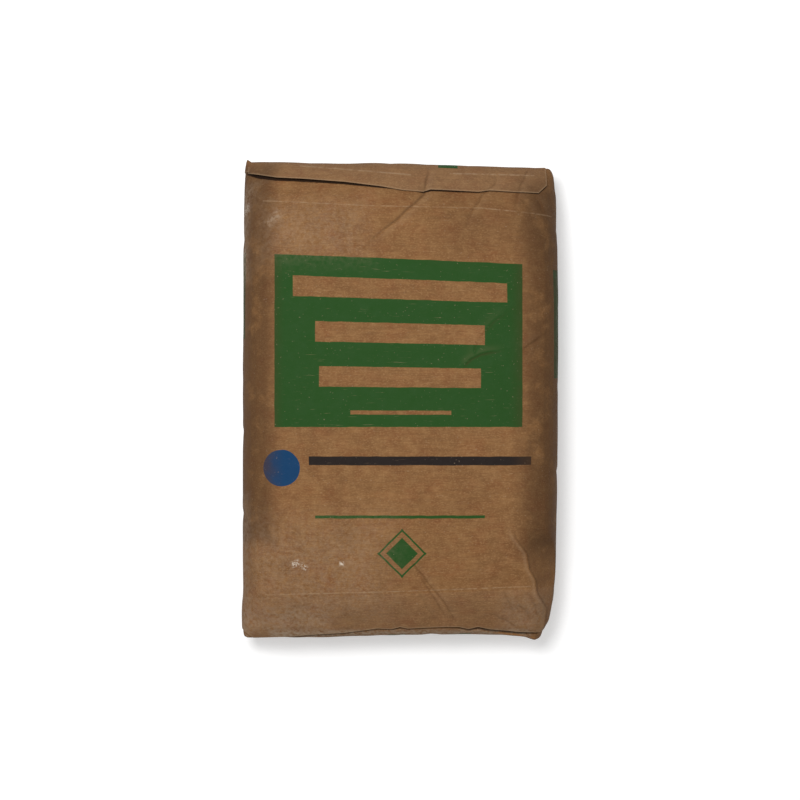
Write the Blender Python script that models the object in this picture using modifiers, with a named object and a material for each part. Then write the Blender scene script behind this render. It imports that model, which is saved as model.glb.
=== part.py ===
"""Cement sack of multiwall kraft paper, filled and lying on its back.

The sack is a paper tube whose two ends are folded and pasted. Lying full, it is a low
cushion: flat where it rests, rounded along its sides, and sloped to a blunt nose at each end.
X is the sack's width, Y its length with the printed face's top towards +Y, and Z is up.
The origin is on the floor, under the middle of the sack.
"""

import bmesh
import bpy
from mathutils import Vector

# Driving dimensions, in metres
SACK_WIDTH = 0.402
SACK_LENGTH = 0.610
SACK_HEIGHT = 0.140
END_SLOPE = 0.058  # in plan, from the scored fold line on the face to the end
NOSE_HEIGHT = 0.056  # height above the floor of the middle of each end
NOSE_BAND = 0.044  # height of the upright band across the middle of each end
CORNER_PINCH = 0.30  # share of that band which is left at the folded corners

# Paper layers that lie on the ends
PAPER_GAP = 0.0004  # air between two layers of paper
FLAP_THICKNESS = 0.0010
SLEEVE_THICKNESS = 0.0008
TOP_FLAP_LIFT = 0.0042  # how far the unpasted left end of the top flap stands off

# Sections of the cage along the length: place, height of the underside, height of the top,
# reach to the left and reach to the right. The first and last are the ends.
HALF_LENGTH = SACK_LENGTH / 2
FOLD_PLACE = HALF_LENGTH - END_SLOPE
NOSE_BOTTOM = NOSE_HEIGHT - NOSE_BAND / 2
NOSE_TOP = NOSE_HEIGHT + NOSE_BAND / 2
SECTIONS = (
    (HALF_LENGTH, NOSE_BOTTOM, NOSE_TOP, 0.1965, 0.1890),
    (0.292, 0.018, 0.095, 0.1990, 0.1945),
    (FOLD_PLACE, 0.0, 0.124, 0.2000, 0.2000),
    (0.185, 0.0, 0.138, 0.2000, 0.2015),
    (0.095, 0.0, 0.140, 0.2000, 0.2020),
    (0.0, 0.0, 0.141, 0.2005, 0.2015),
    (-0.095, 0.0, 0.140, 0.2005, 0.2010),
    (-0.185, 0.0, 0.138, 0.2010, 0.1995),
    (-FOLD_PLACE, 0.0, 0.124, 0.2010, 0.1955),
    (-0.292, 0.018, 0.095, 0.2005, 0.1890),
    (-HALF_LENGTH, NOSE_BOTTOM, NOSE_TOP, 0.1990, 0.1860),
)

# Stations across the width, as shares of the reach, and how far the ends stand short there
WIDTH_STATIONS = (-1.0, -0.80, -0.42, 0.0, 0.42, 0.80, 1.0)
TOP_END_SHORT = (0.0000, 0.0000, 0.0015, 0.0040, 0.0055, 0.0065, 0.0080)
BOTTOM_END_SHORT = (0.0000, 0.0005, 0.0030, 0.0055, 0.0060, 0.0050, 0.0010)

# Cross-section of the cage at the sides, as shares of a section's reach and height
SHOULDER_REACH = 0.94
SIDE_REACH = 1.033
BOTTOM_SHOULDER = 0.0
TOP_SHOULDER = 0.89
CROWN_DROP = 0.03  # how much lower the top is at the outer stations, as a share of the height

SUBDIVISIONS = 2
FOLD_CREASE = 0.5
NOSE_CREASE = 0.35
CORNER_CREASE = 0.9

# Plan outlines of the paper layers, X and Y in metres, read round the sheet
TOP_FLAP_OUTLINE = (
    (-0.1935, 0.2905),
    (-0.122, 0.2820),
    (0.006, 0.2665),
    (0.177, 0.2650),
    (0.188, 0.2755),
    (0.188, 0.320),
    (-0.1935, 0.320),
)
BOTTOM_FLAP_OUTLINE = (
    (-0.196, -0.244),
    (-0.196, -0.294),
    (-0.188, -0.3015),
    (-0.029, -0.2895),
    (0.060, -0.2880),
    (0.174, -0.2960),
    (0.183, -0.286),
    (0.186, -0.244),
)
SLEEVE_OUTLINE = (
    (-0.2045, 0.2935),
    (-0.140, 0.2925),
    (-0.140, 0.3025),
    (-0.2045, 0.3025),
)

# Paint, as red, green and blue in linear light
KRAFT = (0.27, 0.15, 0.078)
PALE_KRAFT = (0.33, 0.20, 0.11)
PAPER_ROUGHNESS = 0.85


def remove_everything():
    """Empty the scene that the script starts in."""
    for thing in list(bpy.data.objects):
        bpy.data.objects.remove(thing, do_unlink=True)


def new_collection(name):
    collection = bpy.data.collections.new(name)
    bpy.context.scene.collection.children.link(collection)
    return collection


def paper_material(name, colour):
    """Dull paper of one colour."""
    material = bpy.data.materials.new(name)
    material.use_nodes = True
    shader = material.node_tree.nodes["Principled BSDF"]
    shader.inputs["Base Color"].default_value = (*colour, 1.0)
    shader.inputs["Roughness"].default_value = PAPER_ROUGHNESS
    shader.inputs["Metallic"].default_value = 0.0
    return material


def add_object(name, mesh, collection, material=None):
    thing = bpy.data.objects.new(name, mesh)
    collection.objects.link(thing)
    if material is not None:
        mesh.materials.append(material)
    return thing


def cut_across(cage, axis, place):
    """Cut every face of the cage with a plane across one axis."""
    normal = Vector((0.0, 0.0, 0.0))
    normal[axis] = 1.0
    bmesh.ops.bisect_plane(
        cage,
        geom=cage.verts[:] + cage.edges[:] + cage.faces[:],
        plane_co=normal * place,
        plane_no=normal,
    )


def station_of(share):
    """Index of the width station that a place across the width belongs to."""
    return min(range(len(WIDTH_STATIONS)), key=lambda index: abs(WIDTH_STATIONS[index] - share))


def shaped(corner):
    """Move a vertex of the plain block to its place on the sack's cage."""
    place, underside, top, left_reach, right_reach = min(
        SECTIONS, key=lambda section: abs(section[0] - corner.y)
    )
    station = station_of(corner.x / (SACK_WIDTH / 2))
    share = WIDTH_STATIONS[station]
    up = corner.z / SACK_HEIGHT
    height = top - underside
    reach = left_reach if share < 0 else right_reach
    short = TOP_END_SHORT[station] if place > 0 else BOTTOM_END_SHORT[station]
    y = place * (1.0 - short / HALF_LENGTH * abs(place / HALF_LENGTH) ** 6)
    if abs(share) < 1.0:
        drop = CROWN_DROP * height * (share / WIDTH_STATIONS[-2]) ** 2 * up
        return Vector((share * reach, y, underside + height * up - drop))
    if abs(place) == HALF_LENGTH:
        return Vector((share * reach, y, NOSE_HEIGHT + (up - 0.5) * NOSE_BAND * CORNER_PINCH))
    if up < 0.25:
        return Vector((share * reach * SHOULDER_REACH, y, underside + height * BOTTOM_SHOULDER))
    if up > 0.75:
        return Vector((share * reach * SHOULDER_REACH, y, underside + height * TOP_SHOULDER))
    return Vector((share * reach * SIDE_REACH, y, underside + height * 0.5))


def crease_folds(cage, places):
    """Sharpen the noses, the pointed corners and the scored fold lines on the face.

    places holds the section that each vertex came from, by the vertex's index.
    """
    edge_creases = cage.edges.layers.float.new("crease_edge")
    point_creases = cage.verts.layers.float.new("crease_vert")
    for edge in cage.edges:
        first, second = edge.verts
        place = places[first.index]
        if place != places[second.index]:
            continue
        if abs(place) == HALF_LENGTH and abs(first.co.z - second.co.z) < NOSE_BAND / 3:
            edge[edge_creases] = NOSE_CREASE
        elif abs(place) == FOLD_PLACE and min(first.co.z, second.co.z) > SACK_HEIGHT / 2:
            edge[edge_creases] = FOLD_CREASE
    outermost = WIDTH_STATIONS[-2] * SACK_WIDTH / 2 + 0.001
    for vertex in cage.verts:
        if abs(places[vertex.index]) == HALF_LENGTH and abs(vertex.co.x) > outermost:
            vertex[point_creases] = CORNER_CREASE


def make_sack_body(collection, material):
    """The filled tube: a block cut at its stations, shaped section by section and smoothed."""
    mesh = bpy.data.meshes.new("sack_body")
    cage = bmesh.new()
    bmesh.ops.create_cube(cage, size=1.0)
    for vertex in cage.verts:
        vertex.co.x *= SACK_WIDTH
        vertex.co.y *= SACK_LENGTH
        vertex.co.z = (vertex.co.z + 0.5) * SACK_HEIGHT
    for share in WIDTH_STATIONS[1:-1]:
        cut_across(cage, 0, share * SACK_WIDTH / 2)
    for section in SECTIONS[1:-1]:
        cut_across(cage, 1, section[0])
    cut_across(cage, 2, SACK_HEIGHT / 2)
    cage.verts.index_update()
    stations = [section[0] for section in SECTIONS]
    places = [min(stations, key=lambda station: abs(station - vertex.co.y)) for vertex in cage.verts]
    for vertex in cage.verts:
        vertex.co = shaped(vertex.co)
    crease_folds(cage, places)
    cage.to_mesh(mesh)
    cage.free()
    mesh.shade_smooth()
    body = add_object("sack_body", mesh, collection, material)
    smoothing = body.modifiers.new("rounded by its contents", "SUBSURF")
    smoothing.levels = SUBDIVISIONS
    smoothing.render_levels = SUBDIVISIONS
    return body


def outline_cutter(name, outline, collection):
    """A tall prism over a plan outline, which trims a sheet to its shape."""
    curve = bpy.data.curves.new(name, "CURVE")
    curve.dimensions = "2D"
    curve.fill_mode = "BOTH"
    curve.extrude = SACK_HEIGHT
    line = curve.splines.new("POLY")
    line.points.add(len(outline) - 1)
    for point, (x, y) in zip(line.points, outline):
        point.co = (x, y, 0.0, 1.0)
    line.use_cyclic_u = True
    rough = bpy.data.objects.new(name, curve)
    collection.objects.link(rough)
    graph = bpy.context.evaluated_depsgraph_get()
    mesh = bpy.data.meshes.new_from_object(rough.evaluated_get(graph))
    bpy.data.objects.remove(rough, do_unlink=True)
    prism = bmesh.new()
    prism.from_mesh(mesh)
    bmesh.ops.remove_doubles(prism, verts=prism.verts[:], dist=1e-5)
    bmesh.ops.recalc_face_normals(prism, faces=prism.faces[:])
    prism.to_mesh(mesh)
    prism.free()
    cutter = add_object(name, mesh, collection)
    cutter.hide_render = True
    cutter.display_type = "WIRE"
    return cutter


def sheet_over_end(name, body, end, front_only, stand_off, thickness, cutter, collection, material):
    """A sheet of paper that follows the sack's own surface over one end.

    stand_off gives the air under the sheet at a point, and the cutter gives its outline.
    """
    graph = bpy.context.evaluated_depsgraph_get()
    mesh = bpy.data.meshes.new_from_object(body.evaluated_get(graph))
    mesh.name = name
    mesh.materials.clear()
    sheet = bmesh.new()
    sheet.from_mesh(mesh)
    sheet.normal_update()
    reach = FOLD_PLACE - 0.03
    unwanted = [
        face
        for face in sheet.faces
        if face.calc_center_median().y * end < reach
        or (front_only and face.calc_center_median().z < NOSE_HEIGHT)
    ]
    bmesh.ops.delete(sheet, geom=unwanted, context="FACES")
    sheet.normal_update()
    moved = [vertex.co + vertex.normal * stand_off(vertex.co) for vertex in sheet.verts]
    for vertex, place in zip(sheet.verts, moved):
        vertex.co = place
    sheet.to_mesh(mesh)
    sheet.free()
    piece = add_object(name, mesh, collection, material)
    wall = piece.modifiers.new("paper thickness", "SOLIDIFY")
    wall.thickness = thickness
    wall.offset = 1.0
    trim = piece.modifiers.new("cut to its outline", "BOOLEAN")
    trim.operation = "INTERSECT"
    trim.solver = "EXACT"
    trim.object = cutter
    return piece


def smooth_step(value):
    value = min(max(value, 0.0), 1.0)
    return value * value * (3.0 - 2.0 * value)


def top_flap_stand_off(place):
    """Pasted on the right, open on the left where the valve is."""
    open_share = smooth_step((-0.02 - place.x) / 0.10)
    towards_edge = 0.4 + 0.6 * smooth_step((HALF_LENGTH - place.y) / 0.03)
    return PAPER_GAP + TOP_FLAP_LIFT * open_share * towards_edge


def pasted_stand_off(place):
    """The same thin air gap all over."""
    return PAPER_GAP


def main():
    remove_everything()
    pieces = new_collection("cement_sack")
    cutters = new_collection("cutters")
    kraft = paper_material("brown kraft paper", KRAFT)
    pale_kraft = paper_material("pale kraft paper", PALE_KRAFT)

    body = make_sack_body(pieces, kraft)
    top_outline = outline_cutter("top_flap_outline", TOP_FLAP_OUTLINE, cutters)
    bottom_outline = outline_cutter("bottom_flap_outline", BOTTOM_FLAP_OUTLINE, cutters)
    sleeve_outline = outline_cutter("sleeve_outline", SLEEVE_OUTLINE, cutters)

    sheet_over_end(
        "top_end_flap", body, 1, False, top_flap_stand_off, FLAP_THICKNESS, top_outline, pieces, kraft
    )
    sheet_over_end(
        "bottom_end_flap", body, -1, True, pasted_stand_off, FLAP_THICKNESS, bottom_outline, pieces, kraft
    )
    sheet_over_end(
        "valve_sleeve", body, 1, True, pasted_stand_off, SLEEVE_THICKNESS, sleeve_outline, pieces, pale_kraft
    )


main()
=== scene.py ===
# %% [markdown]
# # A full cement sack, lying on its back
#
# The sack is a tube of several layers of brown kraft paper. Both ends are folded over and
# pasted, and powder fills it through a small sleeve in one corner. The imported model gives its
# plain solids at their real size. This notebook dresses them: the paper's creases, its thin
# loose flaps, the ink, the dust and the wear.
#
# X runs across the sack, Y along it towards the top of the print, and Z is up. Lengths are in
# metres, and names that end in _mm hold millimetres.

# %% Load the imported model
import math

import bpy
import numpy as np
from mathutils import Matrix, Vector, noise


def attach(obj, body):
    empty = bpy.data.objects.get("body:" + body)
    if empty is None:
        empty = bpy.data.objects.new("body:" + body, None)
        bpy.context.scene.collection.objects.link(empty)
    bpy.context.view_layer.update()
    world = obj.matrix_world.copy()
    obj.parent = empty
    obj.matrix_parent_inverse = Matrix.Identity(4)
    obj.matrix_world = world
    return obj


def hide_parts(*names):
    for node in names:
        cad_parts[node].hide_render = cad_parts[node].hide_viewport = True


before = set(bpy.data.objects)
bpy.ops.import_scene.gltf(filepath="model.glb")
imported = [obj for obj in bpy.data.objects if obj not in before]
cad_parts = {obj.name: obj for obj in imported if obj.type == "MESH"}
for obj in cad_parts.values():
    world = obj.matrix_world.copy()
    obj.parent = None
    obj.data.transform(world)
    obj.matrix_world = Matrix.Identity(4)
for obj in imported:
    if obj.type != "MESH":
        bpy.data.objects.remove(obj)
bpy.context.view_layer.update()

# %% [markdown]
# ## The camera, the floor and the light
#
# The photograph looks straight down on the sack. A long lens from three metres up gives nearly
# the same scale over the whole sack. A wide soft light stands up and to the left, so the shadow
# falls a little to the right and below, and a white sky fills the rest.

# %% Camera
CAMERA_HEIGHT = 3.0
WIDEST_HEIGHT = 0.065  # where the sack's sides reach furthest out
PICTURE_WIDTH = 1.024  # metres across the picture at that height
SENSOR_MM = 36.0

bpy.ops.object.select_all(action="DESELECT")
bpy.ops.object.camera_add(location=(0.0, 0.0, CAMERA_HEIGHT), rotation=(0.0, 0.0, 0.0))
camera = bpy.context.object
camera.name = "camera"
camera.data.sensor_width = SENSOR_MM
camera.data.lens = SENSOR_MM * (CAMERA_HEIGHT - WIDEST_HEIGHT) / PICTURE_WIDTH
bpy.context.scene.camera = camera
bpy.context.scene.view_settings.view_transform = "Standard"
print("lens, mm:", round(camera.data.lens, 1))

# %% Floor, light and sky


def linear(hex_colour):
    """Turn an sRGB colour such as #906b4a into the linear values that shaders take."""
    shares = [int(hex_colour[start : start + 2], 16) / 255 for start in (1, 3, 5)]
    straight = [s / 12.92 if s <= 0.04045 else ((s + 0.055) / 1.055) ** 2.4 for s in shares]
    return (*straight, 1.0)


KEY_PLACE = (-0.40, 0.54, 2.45)
KEY_SIZE = 0.75
KEY_POWER = 45.0
SKY_STRENGTH = 0.36
FLOOR_GLOW = 0.42  # a lit backdrop, as in a product photograph, which keeps the shadow light

bpy.ops.mesh.primitive_plane_add(size=14.0)
floor = bpy.context.object
floor.name = "floor"
paint = bpy.data.materials.new("pale floor")
paint.use_nodes = True
coat = paint.node_tree.nodes["Principled BSDF"].inputs
coat["Base Color"].default_value = linear("#e1e1e1")
coat["Roughness"].default_value = 0.9
coat["Emission Color"].default_value = linear("#ffffff")
coat["Emission Strength"].default_value = FLOOR_GLOW
floor.data.materials.append(paint)
floor.visible_diffuse = False  # the white floor would light the sack's sides as brightly as its face

bpy.ops.object.light_add(type="AREA", location=KEY_PLACE)
key = bpy.context.object
key.name = "key light"
key.data.size = KEY_SIZE
key.data.energy = KEY_POWER
key.rotation_euler = (-Vector(KEY_PLACE)).to_track_quat("-Z", "Y").to_euler()
key.visible_camera = False

sky = bpy.data.worlds.new("sky")
sky.use_nodes = True
sky.node_tree.nodes["Background"].inputs["Color"].default_value = linear("#ffffff")
sky.node_tree.nodes["Background"].inputs["Strength"].default_value = SKY_STRENGTH
bpy.context.scene.world = sky

# %% [markdown]
# ## The filled paper tube
#
# Paper hardly stretches. On a full sack it has a little more area than the filling needs, so it
# buckles into shallow dents and sharp small folds. A modeller could sculpt those by hand, but a
# cloth simulation finds them by itself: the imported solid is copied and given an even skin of
# small quads, then its paper is made a touch larger than its shape while soft springs hold it
# near the filling. What it can't fit flat, it folds.

# %% Small helpers for picking and moving points


def select_only(piece):
    bpy.ops.object.select_all(action="DESELECT")
    piece.select_set(True)
    bpy.context.view_layer.objects.active = piece


def read_points(piece):
    points = np.empty(len(piece.data.vertices) * 3, np.float32)
    piece.data.vertices.foreach_get("co", points)
    return points.reshape(-1, 3).astype(float)


def write_points(piece, points):
    piece.data.vertices.foreach_set("co", points.astype(np.float32).ravel())
    piece.data.update()


def read_normals(piece):
    normals = np.empty(len(piece.data.vertices) * 3, np.float32)
    piece.data.vertex_normals.foreach_get("vector", normals)
    return normals.reshape(-1, 3).astype(float)


def pick_points(piece, wanted):
    """Select only the wanted points, given as one True or False for each."""
    select_only(piece)
    bpy.ops.object.mode_set(mode="EDIT")
    bpy.ops.mesh.select_mode(type="VERT")
    bpy.ops.mesh.select_all(action="DESELECT")
    bpy.ops.object.mode_set(mode="OBJECT")
    piece.data.vertices.foreach_set("select", wanted)


def pick_faces(piece, wanted):
    """Select only the wanted faces, given as one True or False for each."""
    select_only(piece)
    bpy.ops.object.mode_set(mode="EDIT")
    bpy.ops.mesh.select_mode(type="FACE")
    bpy.ops.mesh.select_all(action="DESELECT")
    bpy.ops.object.mode_set(mode="OBJECT")
    piece.data.polygons.foreach_set("select", wanted)


def ramp(values, start, end):
    """0 before start, 1 after end, and a smooth change between them."""
    share = np.clip((values - start) / (end - start), 0.0, 1.0)
    return share * share * (3.0 - 2.0 * share)


# %% Copy the solid and give it an even skin
SKIN_QUAD = 0.0050

sack = bpy.data.objects.new("paper_sack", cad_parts["sack_body"].data.copy())
bpy.context.scene.collection.objects.link(sack)
select_only(sack)
bpy.ops.object.mode_set(mode="EDIT")
bpy.ops.mesh.select_all(action="SELECT")
bpy.ops.mesh.remove_doubles(threshold=0.00001)
bpy.ops.object.mode_set(mode="OBJECT")
sack.data.remesh_voxel_size = SKIN_QUAD
bpy.ops.object.voxel_remesh()
print("points in the even skin:", len(sack.data.vertices))

# %% Smooth the flats that the solid leaves on the face
x, y, z = read_points(sack).T
facets = (z > 0.105) & (np.abs(x) < 0.180) & (np.abs(y) < 0.236)
pick_points(sack, facets)
bpy.ops.object.mode_set(mode="EDIT")
bpy.ops.mesh.vertices_smooth(factor=0.5, repeat=25)
bpy.ops.object.mode_set(mode="OBJECT")

# %% Let the paper buckle
PAPER_SLACK = 0.034  # extra length of the paper where it has most, as a share
LARGEST_MOVE = 0.006
SIMULATED_FRAMES = 20

resting = read_points(sack)
x, y, z = resting.T
near_side = ramp(np.abs(x), 0.120, 0.185)
near_end = ramp(np.abs(y), 0.170, 0.260)
low_side = near_side * (1.0 - ramp(z, 0.035, 0.055))
slack = 0.30 + 0.40 * near_side + 0.55 * near_end + 0.60 * low_side
widest = ramp(np.abs(x), 0.188, 0.198) * (1.0 - low_side)
hold = 0.22 - 0.08 * near_side - 0.10 * near_end + 0.25 * widest - 0.06 * low_side
hold = np.where(z < 0.003, 1.0, np.maximum(hold, 0.08))


def group_by_level(piece, name, levels):
    """A vertex group with a weight for each point, in steps of a hundredth."""
    group = piece.vertex_groups.new(name=name)
    steps = np.round(np.clip(levels, 0.0, 1.0), 2)
    for step in np.unique(steps):
        group.add(np.nonzero(steps == step)[0].tolist(), float(step), "REPLACE")
    return group.name


holding = group_by_level(sack, "held by the filling", hold)
slackness = group_by_level(sack, "slack paper", slack)

select_only(sack)
paper = sack.modifiers.new("paper", "CLOTH")
paper.settings.quality = 4
paper.settings.mass = 0.15
paper.settings.tension_stiffness = 60
paper.settings.compression_stiffness = 60
paper.settings.shear_stiffness = 30
paper.settings.bending_stiffness = 4.0
paper.settings.vertex_group_mass = holding
paper.settings.pin_stiffness = 0.6
paper.settings.vertex_group_shrink = slackness
paper.settings.shrink_min = 0.0
paper.settings.shrink_max = -PAPER_SLACK
paper.settings.use_pressure = True
paper.settings.uniform_pressure_force = 4.0
paper.settings.effector_weights.gravity = 0.0
paper.collision_settings.use_collision = False
bpy.context.scene.frame_start = 1
bpy.context.scene.frame_end = SIMULATED_FRAMES
paper.point_cache.frame_end = SIMULATED_FRAMES
for number in range(1, SIMULATED_FRAMES + 1):
    bpy.context.scene.frame_set(number)
bpy.ops.object.modifier_apply(modifier=paper.name)
moved = read_points(sack) - resting
reach = np.linalg.norm(moved, axis=1, keepdims=True)
moved *= np.minimum(1.0, LARGEST_MOVE / np.maximum(reach, 1e-9))
write_points(sack, resting + moved)
print("paper moved, mm, middle and most:", *np.round(1000 * np.percentile(reach, (50, 100)), 2))

# %% [markdown]
# ## Creases that the photograph shows
#
# A few folds are too long and too sharp to leave to chance: the diagonal ones that run in from
# the ends, the pucker at the right, and the steep facet at the lower right corner. Each is a
# short line on the face. A valley pulls the paper in along its line, and a fold also lifts the
# paper on one side of it, which is what makes it read as paper and not as dough. The quads are
# halved on the face and the ends, and once more along the creases and the flaps' free edges, so
# that a fold has enough points to stay sharp.

# %% Where the folds and the free edges run
CREASES = (
    # side and line as seen from it in mm, then depth, width and lift of the paper beside it, in mm
    ("face", ((38, 301), (30, 259), (-5, 226), (-32, 204), (-56, 178)), 2.6, 3.4, 0.7),
    ("face", ((121, 292), (120, 274), (105, 262), (88, 234), (78, 205)), 1.5, 3.0, 0.5),
    ("face", ((163, 298), (160, 286), (152, 272), (147, 256), (142, 232)), 1.5, 2.6, 0.4),
    ("face", ((12, -196), (22, -213), (56, -256), (75, -286), (82, -300)), 2.0, 2.3, 0.6),
    ("face", ((26, -222), (36, -238), (62, -281)), 1.7, 2.2, 0.6),
    ("face", ((16, -232), (29, -250), (45, -280), (50, -290)), 0.9, 2.2, 0.3),
    ("face", ((78, 40), (90, 51), (100, 56), (114, 59), (136, 62)), 1.6, 3.0, 0.8),
    ("face", ((92, 52), (96, 74), (118, 98), (144, 119)), 0.8, 4.0, 0.4),
    ("face", ((150, 62), (160, 68), (184, 84)), 1.3, 3.0, 0.9),
    ("face", ((130, -238), (141, -262), (144, -288)), 0.9, 3.6, 0.6),
    ("face", ((146, -256), (160, -266), (171, -290)), 1.1, 3.4, 0.7),
    ("face", ((160, -240), (172, -262), (176, -284)), 0.8, 3.4, 0.6),
    ("face", ((112, -268), (138, -280), (156, -296)), 0.8, 3.4, 0.5),
    ("face", ((168, 262), (178, 246), (184, 226)), 1.2, 3.0, 0.6),
    ("face", ((150, 258), (164, 240), (170, 214)), 1.0, 3.0, 0.5),
    ("face", ((-186, 148), (-170, 166), (-160, 192)), 0.8, 4.0, 0.4),
    ("face", ((-192, 262), (-178, 252), (-160, 250)), 0.8, 3.0, 0.4),
    ("right side", ((-268, 64), (-240, 50), (-204, 44), (-168, 46)), 5.1, 4.8, 2.0),
    ("right side", ((-262, 34), (-230, 26), (-190, 30), (-150, 24)), 4.5, 4.6, 1.7),
    ("right side", ((-150, 18), (-104, 30), (-58, 25), (-12, 33)), 4.5, 5.3, 1.7),
    ("right side", ((-96, 92), (-84, 68), (-90, 46), (-80, 30)), 2.7, 4.6, 1.1),
    ("right side", ((14, 86), (26, 64), (30, 42), (22, 22)), 3.3, 4.6, 1.3),
    ("right side", ((48, 34), (96, 22), (146, 30), (176, 24)), 4.5, 5.1, 1.7),
    ("right side", ((112, 84), (128, 64), (156, 50), (188, 46)), 3.6, 4.4, 1.4),
    ("right side", ((176, 26), (214, 30), (250, 44), (276, 62)), 5.1, 4.6, 2.0),
    ("right side", ((200, 84), (226, 68), (262, 58)), 3.9, 4.1, 1.4),
    ("left side", ((-272, 58), (-238, 44), (-196, 40), (-160, 45)), 5.1, 4.8, 2.0),
    ("left side", ((-250, 26), (-206, 30), (-160, 22), (-122, 26)), 4.5, 4.8, 1.7),
    ("left side", ((-148, 88), (-136, 66), (-142, 42), (-130, 28)), 3.0, 4.6, 1.3),
    ("left side", ((-96, 32), (-52, 22), (-4, 30), (36, 24)), 4.5, 5.3, 1.7),
    ("left side", ((-30, 84), (-44, 62), (-40, 44)), 2.7, 4.6, 1.1),
    ("left side", ((62, 82), (74, 58), (96, 44), (132, 40)), 3.6, 4.6, 1.4),
    ("left side", ((118, 22), (158, 32), (204, 26), (242, 38)), 4.8, 4.8, 1.8),
    ("left side", ((196, 82), (222, 62), (256, 54), (280, 56)), 4.2, 4.1, 1.5),
    ("top end", ((-176, 66), (-140, 50), (-96, 46), (-60, 50)), 3.9, 4.6, 1.4),
    ("top end", ((-150, 26), (-92, 34), (-30, 26)), 3.6, 5.1, 1.4),
    ("top end", ((32, 58), (42, 44), (34, 26)), 3.3, 4.1, 1.3),
    ("top end", ((70, 30), (116, 40), (168, 58)), 4.2, 4.6, 1.5),
    ("bottom end", ((-170, 56), (-130, 44), (-84, 48)), 3.9, 4.6, 1.4),
    ("bottom end", ((-120, 24), (-66, 32), (-10, 25)), 3.6, 5.1, 1.4),
    ("bottom end", ((48, 78), (40, 56), (48, 34)), 3.0, 3.9, 1.1),
    ("bottom end", ((60, 26), (112, 36), (158, 50), (182, 66)), 4.5, 4.6, 1.7),
)
SEEN_FROM = {
    # the two axes that a line is drawn in, the axis that faces the viewer, and where a side begins
    "face": ((0, 1), 2, 0.05),
    "right side": ((1, 2), 0, 0.15),
    "left side": ((1, 2), 0, -0.15),
    "top end": ((0, 2), 1, 0.25),
    "bottom end": ((0, 2), 1, -0.25),
}
TOP_FREE_EDGE = (
    (-195, 289),
    (-173, 284),
    (-156, 281),
    (-120, 279),
    (-70, 275),
    (-23, 269),
    (4, 264),
    (29, 262),
    (39, 265),
    (99, 262),
    (113, 264),
    (143, 262),
    (175, 261),
    (186, 272),
)
BOTTOM_FREE_EDGE = (
    (-187, -303),
    (-148, -301),
    (-103, -297),
    (-70, -295),
    (-29, -289),
    (-11, -290),
    (0, -287),
    (10, -289),
    (57, -287),
    (75, -287),
    (87, -290),
    (99, -287),
    (113, -290),
    (150, -294),
    (176, -295),
)
# Along the shoulder's ridge: its place across and along in mm, the fall beside it in metres for
# each metre, and how gently that fall begins, in mm.
SHOULDER_RIDGE = (
    (116, -60, 0.12, 40),
    (126, -130, 0.26, 24),
    (138, -160, 0.42, 12),
    (144, -174, 0.66, 3),
    (151, -183, 0.90, 1.2),
    (158, -192, 1.15, 0.6),
    (161, -212, 1.40, 0.6),
    (169, -226, 1.55, 0.6),
    (171, -243, 1.60, 0.6),
    (184, -264, 1.70, 0.6),
    (183, -290, 1.70, 0.6),
)


def along_line(flat, line_mm):
    """For each flat place, its distance from a line, its side of it, and its share along it."""
    line = np.array(line_mm, float) / 1000.0
    steps = np.diff(line, axis=0)
    lengths = np.linalg.norm(steps, axis=1)
    before = np.concatenate(([0.0], np.cumsum(lengths)[:-1]))
    nearest = np.full(len(flat), np.inf)
    side = np.zeros(len(flat))
    share = np.zeros(len(flat))
    for start, step, length, walked in zip(line[:-1], steps, lengths, before):
        offset = flat - start
        at = np.clip(offset @ step / length**2, 0.0, 1.0)
        gap = offset - at[:, None] * step
        distance = np.linalg.norm(gap, axis=1)
        closer = distance < nearest
        nearest = np.where(closer, distance, nearest)
        turn = np.sign(step[0] * gap[:, 1] - step[1] * gap[:, 0])
        side = np.where(closer, turn, side)
        share = np.where(closer, (walked + at * length) / lengths.sum(), share)
    return nearest, side, share


def on_side(points, seen_from):
    """True for each point that belongs to the side that is seen from there."""
    drawn_in, facing, begins = SEEN_FROM[seen_from]
    return points[:, facing] * np.sign(begins) > abs(begins)


def crease_distance(points, wanted_sides):
    """How far each point is from the nearest crease on the wanted sides."""
    nearest = np.full(len(points), np.inf)
    for seen_from, line_mm, *_ in CREASES:
        if seen_from in wanted_sides:
            distance = along_line(points[:, SEEN_FROM[seen_from][0]], line_mm)[0]
            distance = np.where(on_side(points, seen_from), distance, np.inf)
            nearest = np.minimum(nearest, distance)
    return nearest


# %% Halve the quads where the paper needs them
CREASE_REACH = 0.013
FOLD_REACH = 0.0065


def read_centres(piece):
    centres = np.empty(len(piece.data.polygons) * 3, np.float32)
    piece.data.polygons.foreach_get("center", centres)
    return centres.reshape(-1, 3).astype(float)


def halve_faces(piece, wanted):
    pick_faces(piece, wanted)
    bpy.ops.object.mode_set(mode="EDIT")
    bpy.ops.mesh.subdivide(number_cuts=1, smoothness=0.9)
    bpy.ops.object.mode_set(mode="OBJECT")


centres = read_centres(sack)
across, along, height = centres.T
middle = (np.abs(across) < 0.140) & (along > -0.180) & (along < 0.215)
outer_face = (height > 0.092) & ~middle
on_end = (np.abs(along) > 0.262) & (height > 0.050)
halve_faces(sack, outer_face | on_end | (crease_distance(centres, SEEN_FROM) < CREASE_REACH))

centres = read_centres(sack)
near_fold = crease_distance(centres, ("face",))
for line_mm in (TOP_FREE_EDGE, BOTTOM_FREE_EDGE, [point[:2] for point in SHOULDER_RIDGE[3:]]):
    near_fold = np.minimum(near_fold, along_line(centres[:, :2], line_mm)[0])
halve_faces(sack, (near_fold < FOLD_REACH) & (centres[:, 2] > 0.060))
print("triangles in the sack:", sum(len(face.vertices) - 2 for face in sack.data.polygons))

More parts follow.
